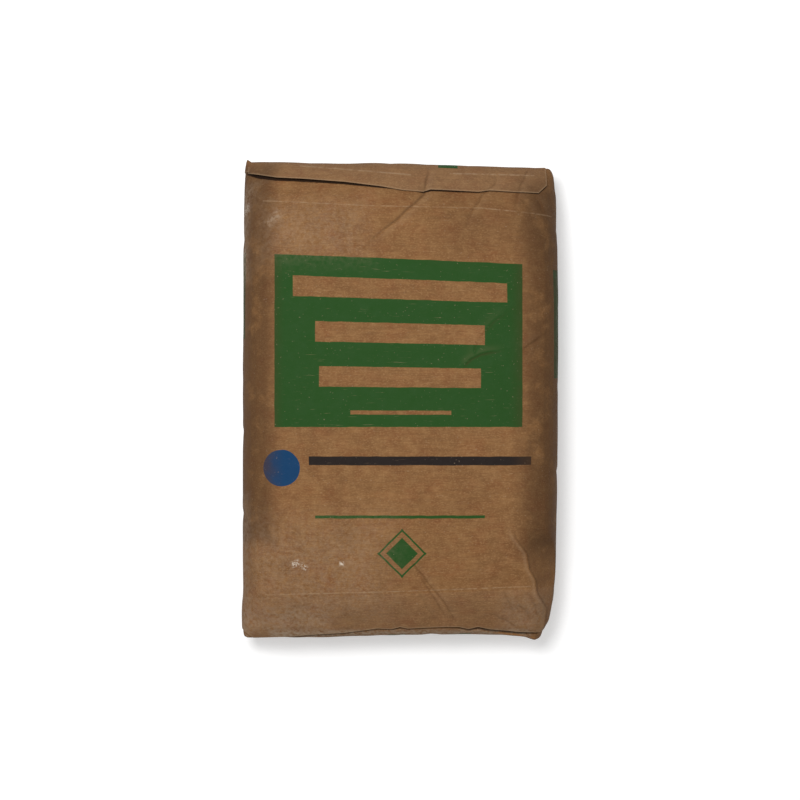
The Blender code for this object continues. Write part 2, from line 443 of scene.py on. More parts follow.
# %% Fold the right shoulder, steep at the lower corner and gentle above it, and paint shade and highlight along its ridge
RIDGE_LIFT = 0.004  # the filling pushes the paper up along the ridge
RIDGE_LIFT_REACH = 0.026
# RIDGE_LINE is the width of the painted shadow and highlight lines along the ridge
RIDGE_LINE = 0.0013

points = read_points(sack)
ridge = np.array(SHOULDER_RIDGE[::-1], float)
ridge[:, (0, 1, 3)] /= 1000.0
above = points[:, 2] > 0.070
edge, fall, onset = (np.interp(points[:, 1], ridge[:, 1], ridge[:, column]) for column in (0, 2, 3))
beyond = points[:, 0] - edge
sharp_part = ramp(points[:, 1], -0.302, -0.290) * (1.0 - ramp(points[:, 1], -0.178, -0.150))
points[:, 2] += RIDGE_LIFT * np.exp(-((beyond / RIDGE_LIFT_REACH) ** 2)) * sharp_part * above
ridge_tops = []
for place in ridge[:, :2]:
    gaps = np.linalg.norm(points[:, :2] - place, axis=1) + np.where(above, 0.0, 1.0)
    ridge_tops.append(points[np.argmin(gaps), 2])
top = np.interp(points[:, 1], ridge[:, 1], ridge_tops)
lowered = top - fall * (np.sqrt(beyond**2 + onset**2) - onset)
fades = ramp(points[:, 1], -0.302, -0.290) * (1.0 - ramp(points[:, 1], -0.110, -0.070))
drop = np.where((beyond > 0) & above, np.minimum(lowered - points[:, 2], 0.0), 0.0) * fades
points[:, 2] += drop
write_points(sack, points)
# Painted shadow: a dark line just past the ridge, on its steep side. Painted highlight: a pale line on its
# flat side.
painted_ridge_shadow = np.exp(-(((beyond - RIDGE_LINE) / RIDGE_LINE) ** 2))
painted_ridge_highlight = np.exp(-(((beyond + 2.0 * RIDGE_LINE) / (2.0 * RIDGE_LINE)) ** 2))
painted_ridge_light = (0.35 * painted_ridge_highlight - 0.60 * painted_ridge_shadow) * sharp_part * above
print("shoulder lowered by up to, mm:", round(-1000 * drop.min(), 1))
print("ridge heights, mm:", [round(1000 * height) for height in ridge_tops])

# %% Let the face wave a little between the sharp creases
WAVE_MM = 70.0
WAVE_HEIGHT_MM = 0.8
FACET_MM = 46.0
FACET_HEIGHT_MM = 1.6



def noise_at(points, size_mm, start):
    """Smooth noise from -1 to 1 at each point, with waves about size_mm long."""
    scale = 1000.0 / size_mm
    return np.array([noise.noise(Vector(place) * scale + Vector(start)) for place in points])


points = read_points(sack)
normals = read_normals(sack)
broad = noise_at(points, WAVE_MM, (0.0, 0.0, 0.0))
flat_sided = np.abs(noise_at(points, FACET_MM, (5.0, 9.0, 2.0)))
waves = WAVE_HEIGHT_MM * broad - FACET_HEIGHT_MM * (0.25 - flat_sided)
waves *= ramp(points[:, 2], 0.004, 0.030) * (1.0 - 0.7 * ramp(np.abs(points[:, 0]), 0.185, 0.197))
points += normals * (waves / 1000.0)[:, None]
write_points(sack, points)
print("waves on the face, mm:", round(waves.min(), 2), "to", round(waves.max(), 2))

# %% Press the creases, and paint shade in their valleys and highlight beside them
bruise = painted_ridge_light
points = read_points(sack)
normals = read_normals(sack)
wander = [noise_at(points, 16.0, (3.0 * axis, 0.0, 0.0)) for axis in (1, 2, 3)]
wandering = points + 0.0011 * np.column_stack(wander)
for seen_from, line_mm, depth_mm, width_mm, lift_mm in CREASES:
    distance, side, share = along_line(wandering[:, SEEN_FROM[seen_from][0]], line_mm)
    strength = ramp(share, 0.0, 0.15) * (1.0 - ramp(share, 0.55, 1.0)) * on_side(points, seen_from)
    apart = 1000 * distance / width_mm
    line = np.exp(-2.2 * np.sqrt(apart**2 + 0.02)) * strength
    hollow = np.exp(-((apart / 2.6) ** 2)) * strength
    fold = np.exp(-(((apart - 1.2) / 1.6) ** 2)) * (side > 0) * strength
    rise = lift_mm * fold - depth_mm * (0.45 * line + 0.55 * hollow)
    points += normals * (rise / 1000.0)[:, None]
    # Painted shade: a dark line along each crease's valley. Painted highlight: a pale band on the lifted side
    # of the fold.
    sharp = np.exp(-((apart / 0.55) ** 2)) * strength
    bruise += 0.26 * depth_mm * (0.30 * fold - sharp)
write_points(sack, points)
print("creases pressed:", len(CREASES))

# %% Pull the corners to the shapes that the filling and the folding gave them
PULLS = (
    # middle of the pull, its reach and its shift across and along, in mm, and whether it is sharp
    ((-120, 305), 150, (0.0, -2.6), False),
    ((120, 305), 110, (0.0, -2.0), False),
    ((197, 292), 26, (3.4, 2.2), False),
    ((201, 262), 40, (2.2, 0.0), False),
    ((-200, -285), 50, (-1.6, 0.0), False),
    ((203, -228), 60, (1.8, 0.0), False),
    ((201, -304), 28, (-9.0, 9.0), False),
    ((160, -306), 30, (0.0, -2.2), True),
    ((172.5, -305), 12, (-0.5, -3.6), True),
)

points = read_points(sack)
for middle_mm, reach_mm, shift_mm, sharp in PULLS:
    distance = np.linalg.norm(points[:, :2] - np.array(middle_mm) / 1000.0, axis=1)
    nearness = np.clip(1.0 - 1000.0 * distance / reach_mm, 0.0, 1.0)
    if not sharp:
        nearness = ramp(nearness, 0.0, 1.0)
    height = ramp(points[:, 2], 0.004, 0.030)
    points[:, :2] += (nearness * height)[:, None] * np.array(shift_mm) / 1000.0
points[:, 2] = np.maximum(points[:, 2], 0.0)
write_points(sack, points)

# %% Sink the paper under the flaps' free edges, and mark the gaps for painted shade
GAP_ROUNDING_MM = 0.7
COVERED_MM = 5.0
GAPS = (
    # free edge, greatest depth, then the gap's width at shares along the edge, all in mm
    (
        TOP_FREE_EDGE,
        4.0,
        (0.0, 0.04, 0.10, 0.20, 0.34, 0.44, 0.48, 0.56, 0.60, 0.72, 0.82, 0.92, 1.0),
        (1.4, 3.6, 2.8, 2.3, 1.9, 1.2, 0.4, 0.3, 1.3, 0.9, 0.5, 0.5, 0.6),
    ),
    (
        BOTTOM_FREE_EDGE,
        4.6,
        (0.0, 0.10, 0.30, 0.42, 0.52, 0.60, 0.70, 0.80, 0.94, 1.0),
        (2.2, 3.2, 2.6, 2.2, 3.0, 2.4, 3.0, 4.8, 5.4, 3.0),
    ),
)

points = read_points(sack)
ungapped = points.copy()
normals = read_normals(sack)
gap_shade = np.zeros(len(points))
for edge_mm, depth_mm, shares, widths_mm in GAPS:
    distance, side, share = along_line(points[:, :2], edge_mm)
    past_edge_mm = -1000.0 * side * distance
    open_mm = np.interp(share, shares, widths_mm)
    rounding = GAP_ROUNDING_MM
    dark = 1.0 - ramp(past_edge_mm, open_mm - rounding, open_mm + rounding)
    dark *= ramp(past_edge_mm, -COVERED_MM, -COVERED_MM + 1.0) * (points[:, 2] > 0.06)
    dark *= (share > 0.0) & (share < 1.0)
    points -= normals * (depth_mm * dark * np.minimum(open_mm / 2.5, 1.0) / 1000.0)[:, None]
    # gap_shade is painted dark brown on the paper: painted shade in the gaps
    gap_shade = np.maximum(gap_shade, dark)
write_points(sack, points)
print("points in the gaps:", int((gap_shade > 0.5).sum()))


def write_mark(piece, name, values):
    """Keep a value for each point, which a material can read by its name."""
    mark = piece.data.attributes.get(name) or piece.data.attributes.new(name, "FLOAT", "POINT")
    mark.data.foreach_set("value", values.astype(np.float32))


# This point mark holds painted shade below zero and painted highlight above zero, along the creases and the
# shoulder's ridge
write_mark(sack, "bruise", bruise)
write_mark(sack, "gap", gap_shade)
select_only(sack)
bpy.ops.object.shade_smooth()

# %% [markdown]
# ## Paper layers on the ends
#
# The end flaps are the sack's own outer paper layers, pasted over the folded ends. Each is taken
# from the sack's surface, so it follows every dent: its faces are copied, cut to the flap's
# outline, moved off the surface by the air beneath them and given the paper's thickness. The
# left half of the top flap isn't pasted. It stands off over a gap, which is also painted dark as painted
# shade.

# %% Cut a sheet from the skin
PAPER_THICKNESS = 0.0007


def inside_outline(points, outline_mm):
    """True for each point that lies inside the outline, seen from above."""
    outline = np.array(outline_mm) / 1000.0
    inside = np.zeros(len(points), bool)
    for (x0, y0), (x1, y1) in zip(outline, np.roll(outline, -1, axis=0)):
        crosses = (y0 > points[:, 1]) != (y1 > points[:, 1])
        slope = (x1 - x0) / (y1 - y0) if y1 != y0 else 0.0
        inside ^= crosses & (points[:, 0] < x0 + slope * (points[:, 1] - y0))
    return inside


def delete_faces(piece, unwanted):
    pick_faces(piece, unwanted)
    bpy.ops.object.mode_set(mode="EDIT")
    bpy.ops.mesh.delete(type="FACE")
    bpy.ops.object.mode_set(mode="OBJECT")


def cut_sheet(name, outline_mm, lowest, stand_off):
    """Copy the sack's faces within an outline and above a height as a thin sheet of its own.

    stand_off gives, for each point, the air beneath it and how far it also rises straight up.
    """
    sheet = bpy.data.objects.new(name, sack.data.copy())
    bpy.context.scene.collection.objects.link(sheet)
    sheet.vertex_groups.clear()
    write_points(sheet, ungapped)
    end = np.sign(np.mean([corner[1] for corner in outline_mm]))
    centres = read_centres(sheet)
    delete_faces(sheet, (end * centres[:, 1] < 0.20) | (centres[:, 2] < lowest))
    outline = [Vector((across / 1000.0, along / 1000.0, 0.0)) for across, along in outline_mm]
    for corner, following in zip(outline, outline[1:] + outline[:1]):
        outward = (following - corner).cross(Vector((0.0, 0.0, 1.0))).normalized()
        bpy.ops.object.mode_set(mode="EDIT")
        bpy.ops.mesh.select_all(action="SELECT")
        bpy.ops.mesh.bisect(plane_co=corner, plane_no=outward)
        bpy.ops.object.mode_set(mode="OBJECT")
    delete_faces(sheet, ~inside_outline(read_centres(sheet), outline_mm))
    points = read_points(sheet)
    write_mark(sheet, "gap", np.zeros(len(points)))
    # The pale line along the cut outline is a painted highlight on the flap's cut edge
    cut = along_line(points[:, :2], outline_mm + outline_mm[:1])[0]
    write_mark(sheet, "cut", np.exp(-((1000 * cut / 1.0) ** 2)))
    air, rise = stand_off(points)
    points += read_normals(sheet) * air[:, None]
    points[:, 2] += rise
    write_points(sheet, points)
    wall = sheet.modifiers.new("thickness", "SOLIDIFY")
    wall.thickness = PAPER_THICKNESS
    wall.offset = 1.0
    bpy.ops.object.modifier_apply(modifier=wall.name)
    bpy.ops.object.shade_smooth_by_angle(angle=math.radians(40.0))
    print(name, "triangles:", sum(len(face.vertices) - 2 for face in sheet.data.polygons))
    return sheet


# %% Top end flap
TOP_FLAP = ((-192.5, 288), *TOP_FREE_EDGE[1:], (186, 325), (-192.5, 325))


def top_flap_air(points):
    """Pasted at the right, open at the left, where the valve is."""
    open_share = ramp(-points[:, 0], 0.00, 0.12)
    short_gap = np.exp(-(((points[:, 0] - 0.070) / 0.034) ** 2))
    clipped = np.exp(-(((points[:, 0] - 0.186) / 0.012) ** 2))
    front = ramp(0.300 - points[:, 1], 0.0, 0.026) * (points[:, 2] > 0.05)
    ripple = 0.0005 * np.sin(points[:, 0] * 95.0 + 1.0) * open_share
    rise = front * (0.0034 * open_share + 0.0013 * short_gap + 0.0022 * clipped + ripple)
    return 0.0003 + 0.0005 * open_share, rise


top_flap = cut_sheet("top_flap_paper", TOP_FLAP, 0.006, top_flap_air)

# %% Bottom end flap
BOTTOM_FLAP = (
    (-204, -246),
    (-204, -290),
    *BOTTOM_FREE_EDGE,
    (188, -290),
    (204, -262),
    (204, -234),
)


def bottom_flap_air(points):
    """Grows out of the scored fold and stands off most along its free edge."""
    from_fold = ramp(-points[:, 1] + 0.034 * points[:, 0], 0.238, 0.258)
    near_edge = ramp(-points[:, 1], 0.274, 0.292)
    puckers = 0.5 + 0.5 * np.sin(points[:, 0] * 120.0)
    return -0.0009 + 0.0011 * from_fold, near_edge * (0.0016 + 0.0010 * puckers)


bottom_flap = cut_sheet("bottom_flap_paper", BOTTOM_FLAP, 0.058, bottom_flap_air)

# %% Valve sleeve
SLEEVE = ((-205, 291), (-140, 291), (-140, 308), (-205, 308))


def sleeve_air(points):
    return np.full(len(points), 0.0004), 0.0


sleeve = cut_sheet("valve_sleeve_paper", SLEEVE, 0.052, sleeve_air)

# %% Draw the sleeve's corner out to the dog-ear that shows beside the flap
EAR_MM = (-197.5, 301.0)
EAR_REACH_MM = 8.0
EAR_SHIFT_MM = (0.8, 7.5)

points = read_points(sleeve)
distance = np.linalg.norm(points[:, :2] - np.array(EAR_MM) / 1000.0, axis=1)
nearness = np.clip(1.0 - 1000.0 * distance / EAR_REACH_MM, 0.0, 1.0)
points[:, :2] += nearness[:, None] * np.array(EAR_SHIFT_MM) / 1000.0
write_points(sleeve, points)

# %% [markdown]
# ## Kraft paper
#
# Kraft is unbleached wood pulp: warm brown and dull, with short fibres that show as fine streaks
# and pale specks. It could be one brown with one noise, but that looks like plastic. Here each
# tone is a noise of its own, at the size of something real: the damp and sun that a sack has
# seen, the unevenly cooked pulp, the cloudy way it settles, the grain that the paper machine
# leaves, and the fibres.

# %% One helper that adds a node


def add_node(tree, kind, links=None, **settings):
    """Add a node. links gives each input, by name or number, a value or another node's output."""
    made = tree.nodes.new(kind)
    for name, value in settings.items():
        setattr(made, name, value)
    for socket, value in (links or {}).items():
        if isinstance(value, bpy.types.NodeSocket):
            tree.links.new(value, made.inputs[socket])
        else:
            made.inputs[socket].default_value = value
    return made


# %% Layers of colour, the shapes they take and the blots that break them up


def layer(tree, under, over_hex, *shares):
    """Lay a colour over another, as far as the product of the shares says."""
    share = shares[0]
    for further in shares[1:]:
        share = add_node(
            tree, "ShaderNodeMath", {0: share, 1: further}, operation="MULTIPLY", use_clamp=True
        ).outputs[0]
    links = {"Factor": share, 6: under, 7: linear(over_hex)}
    return add_node(tree, "ShaderNodeMix", links, data_type="RGBA").outputs[2]


def metres(across_mm, along_mm):
    return (across_mm / 1000.0, along_mm / 1000.0, 0.0)


def patch(tree, place, middle_mm, size_mm, soft_mm=0.8, turn_deg=0.0):
    """1 within a box laid on the paper and 0 beyond it, with a soft edge."""
    links = {
        "Vector": place,
        "Location": metres(*middle_mm),
        "Rotation": (0.0, 0.0, math.radians(turn_deg)),
    }
    turned = add_node(tree, "ShaderNodeMapping", links, vector_type="TEXTURE")
    links = {0: turned.outputs[0]}
    offset = add_node(tree, "ShaderNodeVectorMath", links, operation="ABSOLUTE")
    links = {0: offset.outputs[0], 1: metres(size_mm[0] / 2, size_mm[1] / 2)}
    beyond = add_node(tree, "ShaderNodeVectorMath", links, operation="SUBTRACT")
    parts = add_node(tree, "ShaderNodeSeparateXYZ", {0: beyond.outputs[0]})
    links = {0: parts.outputs[0], 1: parts.outputs[1]}
    away = add_node(tree, "ShaderNodeMath", links, operation="MAXIMUM")
    return soft_edge(tree, away.outputs[0], soft_mm)


def disc(tree, place, middle_mm, width_mm, soft_mm=0.8):
    """1 within a disc laid on the paper and 0 beyond it, with a soft edge."""
    flat = add_node(tree, "ShaderNodeVectorMath", {0: place, 1: (1.0, 1.0, 0.0)}, operation="MULTIPLY")
    links = {0: flat.outputs[0], 1: metres(*middle_mm)}
    reach = add_node(tree, "ShaderNodeVectorMath", links, operation="DISTANCE")
    links = {0: reach.outputs["Value"], 1: width_mm / 2000.0}
    away = add_node(tree, "ShaderNodeMath", links, operation="SUBTRACT")
    return soft_edge(tree, away.outputs[0], soft_mm)


def soft_edge(tree, away, soft_mm):
    """1 before an edge and 0 past it, for a distance from that edge."""
    half = soft_mm / 2000.0
    links = {"Value": away, "From Min": -half, "From Max": half, "To Min": 1.0, "To Max": 0.0}
    return add_node(tree, "ShaderNodeMapRange", links, interpolation_type="SMOOTHSTEP").outputs[0]


def blots(tree, place, size_mm, detail, low, high, longer=1.0, turn_deg=0.0):
    """Noise in blots about size_mm wide, 0 where it is under low and 1 where it is over high."""
    links = {
        "Vector": place,
        "Rotation": (0.0, 0.0, math.radians(turn_deg)),
        "Scale": (1000.0 / (size_mm * longer), 1000.0 / size_mm, 1000.0 / size_mm),
    }
    mapped = add_node(tree, "ShaderNodeMapping", links)
    links = {"Vector": mapped.outputs[0], "Scale": 1.0, "Detail": detail, "Roughness": 0.6}
    cloud = add_node(tree, "ShaderNodeTexNoise", links)
    links = {"Value": cloud.outputs["Fac"], "From Min": low, "From Max": high}
    return add_node(tree, "ShaderNodeMapRange", links).outputs[0]


# %% The bare paper
KRAFT_MID = "#875f38"
KRAFT_PALE = "#a07950"
KRAFT_DEEP = "#5c3d22"
KRAFT_RUST = "#7c4827"
PAPER_TONES = (
    # colour, blot size in mm, detail, the noise at none and at full, longer across, and share
    (KRAFT_DEEP, 60.0, 3.0, 0.35, 0.65, 1.0, 0.34),  # damp and sun
    (KRAFT_RUST, 24.0, 3.0, 0.45, 0.75, 1.0, 0.55),  # unevenly cooked pulp
    (KRAFT_PALE, 11.0, 5.0, 0.42, 0.80, 1.0, 0.60),  # the cloudy way that pulp settles
    (KRAFT_DEEP, 1.8, 2.0, 0.35, 0.65, 14.0, 0.32),  # grain from the paper machine
    (KRAFT_PALE, 1.5, 2.0, 0.50, 0.72, 1.8, 0.60),  # fibres, coarser than real ones, which don't show
)


def paper_colour(tree, place):
    colour = linear(KRAFT_MID)
    for over_hex, size_mm, detail, low, high, longer, share in PAPER_TONES:
        spread = blots(tree, place, size_mm, detail, low, high, longer)
        colour = layer(tree, colour, over_hex, spread, share)
    return colour


# %% [markdown]
# ## Ink
#
# The front of the sack carries plain blocks and bars of ink, as a generic sack would: a green
# block with bars left bare, a blue disc and thin lines. Blocks stand on the sides and the ends.
# Flexographic ink sinks into kraft, so it is dull, lets some paper through and has slightly
# uneven edges. The large block wasn't printed square to the sack, so its upper edge leans: the
# heights in it are shares of its own height.

# %% The shapes that are printed
GREEN_INK = "#23491a"
BLUE_INK = "#0e3a60"
BLACK_INK = "#231b18"
BLOCK_MIDDLE = -2.0
BLOCK_WIDTH = 310.0
BLOCK_HEIGHT = 210.0
BLOCK_FOOT = -33.7
BLOCK_LEAN = -0.042
BARE_BARS = (
    # bars that the green block leaves bare: middle across, height in the block, width, thickness
    (0.0, 172.0, 268.0, 25.0),
    (0.0, 117.0, 212.0, 25.0),
    (0.0, 62.0, 202.0, 25.0),
    (1.0, 18.0, 126.0, 5.0),
)
DISC_MIDDLE_MM = (-148.0, -85.0)
DISC_WIDTH_MM = 46.0
BARS = (
    # where it is printed, ink, middle and size in mm as seen from that side, and turn in degrees
    ("face", BLACK_INK, (25.0, -76.0), (278.0, 11.0), 0.0),
    ("face", GREEN_INK, (0.0, -146.0), (212.0, 3.6), 0.0),
    ("face", GREEN_INK, (2.5, -192.0), (28.0, 28.0), 45.0),
    ("face", GREEN_INK, (17.0, -177.5), (44.0, 2.2), -45.0),
    ("face", GREEN_INK, (-12.0, -177.5), (44.0, 2.2), 45.0),
    ("face", GREEN_INK, (-12.0, -206.5), (44.0, 2.2), -45.0),
    ("face", GREEN_INK, (17.0, -206.5), (44.0, 2.2), 45.0),
    ("right side", GREEN_INK, (64.0, 96.0), (84.0, 137.0), 0.0),
    ("right side", BLACK_INK, (80.0, -72.0), (5.0, 150.0), 0.0),
    ("left side", GREEN_INK, (58.0, 132.0), (76.0, 109.0), 0.0),
    ("left side", BLACK_INK, (80.0, -80.0), (5.0, 190.0), 0.0),
    ("top end", GREEN_INK, (61.0, 50.0), (25.0, 70.0), 0.0),
    ("bottom end", GREEN_INK, (-4.0, 46.0), (22.0, 66.0), 0.0),
    ("bottom end", GREEN_INK, (76.0, 46.0), (28.0, 66.0), 0.0),
)
FACE_HEIGHT = 0.099
SIDE_FROM = 0.150
END_FROM = 0.262


def uneven(tree, place):
    """The place shifted about by up to half a millimetre, for the ink's uneven edges."""
    stir = add_node(tree, "ShaderNodeTexNoise", {"Vector": place, "Scale": 55.0, "Detail": 2.0})
    links = {0: stir.outputs["Color"], 1: (0.5, 0.5, 0.5)}
    stir = add_node(tree, "ShaderNodeVectorMath", links, operation="SUBTRACT")
    links = {0: stir.outputs[0], 1: (0.0012, 0.0018, 0.0), 2: place}
    return add_node(tree, "ShaderNodeVectorMath", links, operation="MULTIPLY_ADD").outputs[0]


def sides_of_the_sack(tree, place):
    """For each side that can be printed: the flat place seen from it, and 1 where it applies."""
    parts = add_node(tree, "ShaderNodeSeparateXYZ", {0: place}).outputs
    from_side = add_node(tree, "ShaderNodeCombineXYZ", {0: parts["Z"], 1: parts["Y"]}).outputs[0]
    from_end = add_node(tree, "ShaderNodeCombineXYZ", {0: parts["X"], 1: parts["Z"]}).outputs[0]
    sides = {"anywhere": (place, 1.0)}
    for name, flat, axis, operation, limit in (
        ("face", place, "Z", "GREATER_THAN", FACE_HEIGHT),
        ("upper half", place, "Z", "GREATER_THAN", WIDEST_HEIGHT),
        ("right side", from_side, "X", "GREATER_THAN", SIDE_FROM),
        ("left side", from_side, "X", "LESS_THAN", -SIDE_FROM),
        ("top end", from_end, "Y", "GREATER_THAN", END_FROM),
        ("bottom end", from_end, "Y", "LESS_THAN", -END_FROM),
    ):
        applies = add_node(tree, "ShaderNodeMath", {0: parts[axis], 1: limit}, operation=operation)
        sides[name] = (flat, applies.outputs[0])
    return sides


def leaning_block(tree, place):
    """1 in the green block, apart from the bars that it leaves bare."""
    parts = add_node(tree, "ShaderNodeSeparateXYZ", {0: place}).outputs
    links = {0: parts["X"], 1: BLOCK_LEAN, 2: BLOCK_HEIGHT / 1000.0}
    height = add_node(tree, "ShaderNodeMath", links, operation="MULTIPLY_ADD")
    links = {0: parts["Y"], 1: BLOCK_FOOT / 1000.0}
    above_foot = add_node(tree, "ShaderNodeMath", links, operation="SUBTRACT")
    links = {0: above_foot.outputs[0], 1: height.outputs[0]}
    share = add_node(tree, "ShaderNodeMath", links, operation="DIVIDE")
    links = {0: share.outputs[0], 1: BLOCK_HEIGHT / 1000.0}
    rise = add_node(tree, "ShaderNodeMath", links, operation="MULTIPLY")
    in_block = add_node(tree, "ShaderNodeCombineXYZ", {0: parts["X"], 1: rise.outputs[0]}).outputs[0]
    block = patch(tree, in_block, (BLOCK_MIDDLE, BLOCK_HEIGHT / 2), (BLOCK_WIDTH, BLOCK_HEIGHT))
    for across, up, width, thickness in BARE_BARS:
        bar = patch(tree, in_block, (across, up), (width, thickness))
        links = {0: block, 1: bar}
        block = add_node(tree, "ShaderNodeMath", links, operation="SUBTRACT", use_clamp=True).outputs[0]
    return block


def print_sack(tree, colour, place, printed_sides, wear):
    """Print the sides that are named. wear is the share of the ink that is left."""
    place = uneven(tree, place)
    sides = sides_of_the_sack(tree, place)
    if "face" in printed_sides:
        on_face = sides["face"][1]
        colour = layer(tree, colour, GREEN_INK, leaning_block(tree, place), on_face, wear)
        round_mark = disc(tree, place, DISC_MIDDLE_MM, DISC_WIDTH_MM)
        colour = layer(tree, colour, BLUE_INK, round_mark, on_face, wear)
    for name, ink_hex, middle_mm, size_mm, turn_deg in BARS:
        if name in printed_sides:
            flat, applies = sides[name]
            bar = patch(tree, flat, middle_mm, size_mm, turn_deg=turn_deg)
            colour = layer(tree, colour, ink_hex, bar, applies, wear)
    return colour


# %% [markdown]
# ## Dust, dirt, scuffs and painted shade
#
# A cement sack is stacked, dragged and stood in dust. Grey cement lies in its corners and along
# its sides, and handling leaves pale scuffs. The long edges, the steep corner facet and the valve
# mouth are darkened with painted shade, where they turn away from the light or lie deep, and a
# brown stain lies at the upper right. The creases, the ridge, the gaps and the flaps' cut edges get
# painted shade and highlight from marks on their points. Each place is a soft patch, and noise
# breaks it up so that its outline doesn't show.

# %% Where the dust, the dirt and the painted shade lie
CEMENT_DUST = "#a9937c"
LIME_WHITE = "#d6c8b6"
# pale scuffs, and the painted highlight beside folds, along the ridge and on the flaps' cut edges
PALE_SCUFF_AND_HIGHLIGHT = "#b79b7c"
# painted shade on the long sides, the corner facet, the valve mouth and in the creases, and a brown stain
SHADE_AND_DIRT_BROWN = "#48311c"
STRAW = "#a4703c"
# painted shade in the gaps under the flaps' free edges
GAP_SHADE_BROWN = "#22140c"
DUSTY_PLACES = (
    # side, middle and size in mm as seen from it, turn in degrees, softness in mm, and share
    ("upper half", (-199, -215), (14, 190), 0, 16, 0.34),
    ("upper half", (-159, 228), (22, 9), 45, 7, 0.50),
    ("upper half", (-146, -280), (116, 34), 4, 24, 0.30),
    ("upper half", (158, -272), (60, 50), 0, 36, 0.24),
    ("upper half", (-110, 215), (130, 70), 0, 60, 0.18),
    ("upper half", (-110, -215), (180, 120), 0, 90, 0.22),
    ("upper half", (0, -300), (330, 16), 0, 8, 0.80),
    ("left side", (82, 210), (34, 120), 8, 26, 0.50),
    ("right side", (50, -150), (60, 130), -10, 50, 0.30),
    ("bottom end", (60, 52), (190, 50), 0, 46, 0.35),
    ("top end", (-60, 50), (200, 46), 0, 44, 0.30),
)
WHITE_PLACES = (
    ("upper half", (-131, -205), (9, 7), 20, 4, 0.7),
    ("upper half", (-120, -209), (9, 6), -30, 4, 0.6),
    ("upper half", (-73, -205), (5, 5), 0, 3, 0.8),
    ("left side", (84, 240), (22, 12), 25, 8, 0.50),
    ("left side", (78, 214), (14, 20), -20, 8, 0.45),
    ("left side", (88, 184), (18, 9), 30, 7, 0.42),
    ("left side", (78, 150), (12, 16), 10, 7, 0.35),
    ("left side", (84, 66), (9, 40), 5, 5, 0.35),
)
SHADED_AND_DIRTY_PLACES = (
    # painted shade along both long sides, where the sack rounds away from the light
    ("anywhere", (-180, 60), (44, 480), 0, 30, 0.62),
    ("anywhere", (178, 40), (50, 470), 0, 40, 0.62),
    # painted shade at the very edges of the long sides
    ("upper half", (-201, 60), (8, 480), 0, 8, 0.55),
    ("upper half", (201, 20), (8, 480), 0, 8, 0.25),
    # painted shade on the steep facet at the lower right corner
    ("upper half", (180, -200), (30, 60), 0, 14, 0.25),
    # a brown stain at the upper right
    ("upper half", (120, 225), (130, 70), 0, 70, 0.25),
    # painted shade in the valve mouth at the top left
    ("upper half", (-193.5, 288.5), (6, 4), 0, 2, 0.95),
)
FLOOR_DUST_TO_MM = 22.0  # the sack has stood in dust up to about here
FLOOR_DUST_FADE_MM = 36.0
FLOOR_DUST_SHARE = 0.5
# Fine straight marks on the paper: from, to and width in mm, colour and share
MARKS = (
    ((-173, 251), (-40, 244), 1.3, PALE_SCUFF_AND_HIGHLIGHT, 0.34),
    ((-40, 244), (102, 241), 1.3, PALE_SCUFF_AND_HIGHLIGHT, 0.27),
    ((102, 241), (192, 232), 1.3, PALE_SCUFF_AND_HIGHLIGHT, 0.32),
    ((-170, -245), (0, -240), 1.3, PALE_SCUFF_AND_HIGHLIGHT, 0.34),
    ((0, -240), (164, -234), 1.3, PALE_SCUFF_AND_HIGHLIGHT, 0.34),
    ((-127, 298), (14, 285), 1.8, PALE_SCUFF_AND_HIGHLIGHT, 0.42),
    ((63, 287), (171, 285), 1.8, PALE_SCUFF_AND_HIGHLIGHT, 0.45),
    ((122, -296), (172, -303), 3.0, STRAW, 0.90),
)
WEAR_TONES = (
    # colour, blot size in mm, detail, the noise at none and at full, longer, turn and share
    (PALE_SCUFF_AND_HIGHLIGHT, 1.6, 3.0, 0.66, 0.80, 16.0, 48.0, 0.34),  # scratches
    (CEMENT_DUST, 2.6, 1.0, 0.72, 0.78, 1.0, 0.0, 0.30),  # flecks of cement
)
POINT_MARKS = (
    # mark that the modelling left on the points, colour, and strength
    # painted highlight beside the creases and along the ridge
    ("bruise", PALE_SCUFF_AND_HIGHLIGHT, 0.40),
    # painted shade in the crease valleys and along the ridge's steep side
    ("bruise", SHADE_AND_DIRT_BROWN, -0.75),  # below zero the paper is creased in, and dark
    # painted highlight along the flaps' cut edges
    ("cut", PALE_SCUFF_AND_HIGHLIGHT, 0.35),
    # painted shade in the gaps under the flaps' free edges
    ("gap", GAP_SHADE_BROWN, 0.92),
)


def lay_patches(tree, colour, sides, places, colour_hex, grit):
    for name, middle_mm, size_mm, turn_deg, soft_mm, share in places:
        flat, applies = sides[name]
        shape = patch(tree, flat, middle_mm, size_mm, soft_mm, turn_deg)
        colour = layer(tree, colour, colour_hex, shape, grit, applies, share)
    return colour


def floor_dust(tree, colour, place, grit):
    """Dust that rises from the floor, most at the foot of the sides."""
    height = add_node(tree, "ShaderNodeSeparateXYZ", {0: place}).outputs["Z"]
    links = {0: height, 1: FLOOR_DUST_TO_MM / 1000.0}
    above = add_node(tree, "ShaderNodeMath", links, operation="SUBTRACT").outputs[0]
    foot = soft_edge(tree, above, FLOOR_DUST_FADE_MM)
    return layer(tree, colour, CEMENT_DUST, foot, grit, FLOOR_DUST_SHARE)


def rule_marks(tree, colour, place, grit):
    for start_mm, end_mm, width_mm, colour_hex, share in MARKS:
        across, along = end_mm[0] - start_mm[0], end_mm[1] - start_mm[1]
        middle_mm = ((start_mm[0] + end_mm[0]) / 2, (start_mm[1] + end_mm[1]) / 2)
        size_mm = (math.hypot(across, along), width_mm)
        turn_deg = math.degrees(math.atan2(along, across))
        shape = patch(tree, place, middle_mm, size_mm, width_mm, turn_deg)
        colour = layer(tree, colour, colour_hex, shape, grit, share)
    return colour


# %% Put the layers together
ROUGHNESS = (0.72, 0.88)
COCKLE_MM = 9.0  # the shallow dimples of paper that has dried
TOOTH_MM = 1.5
COCKLE_TO_TOOTH = 3.0
RELIEF_HEIGHT = 0.00022


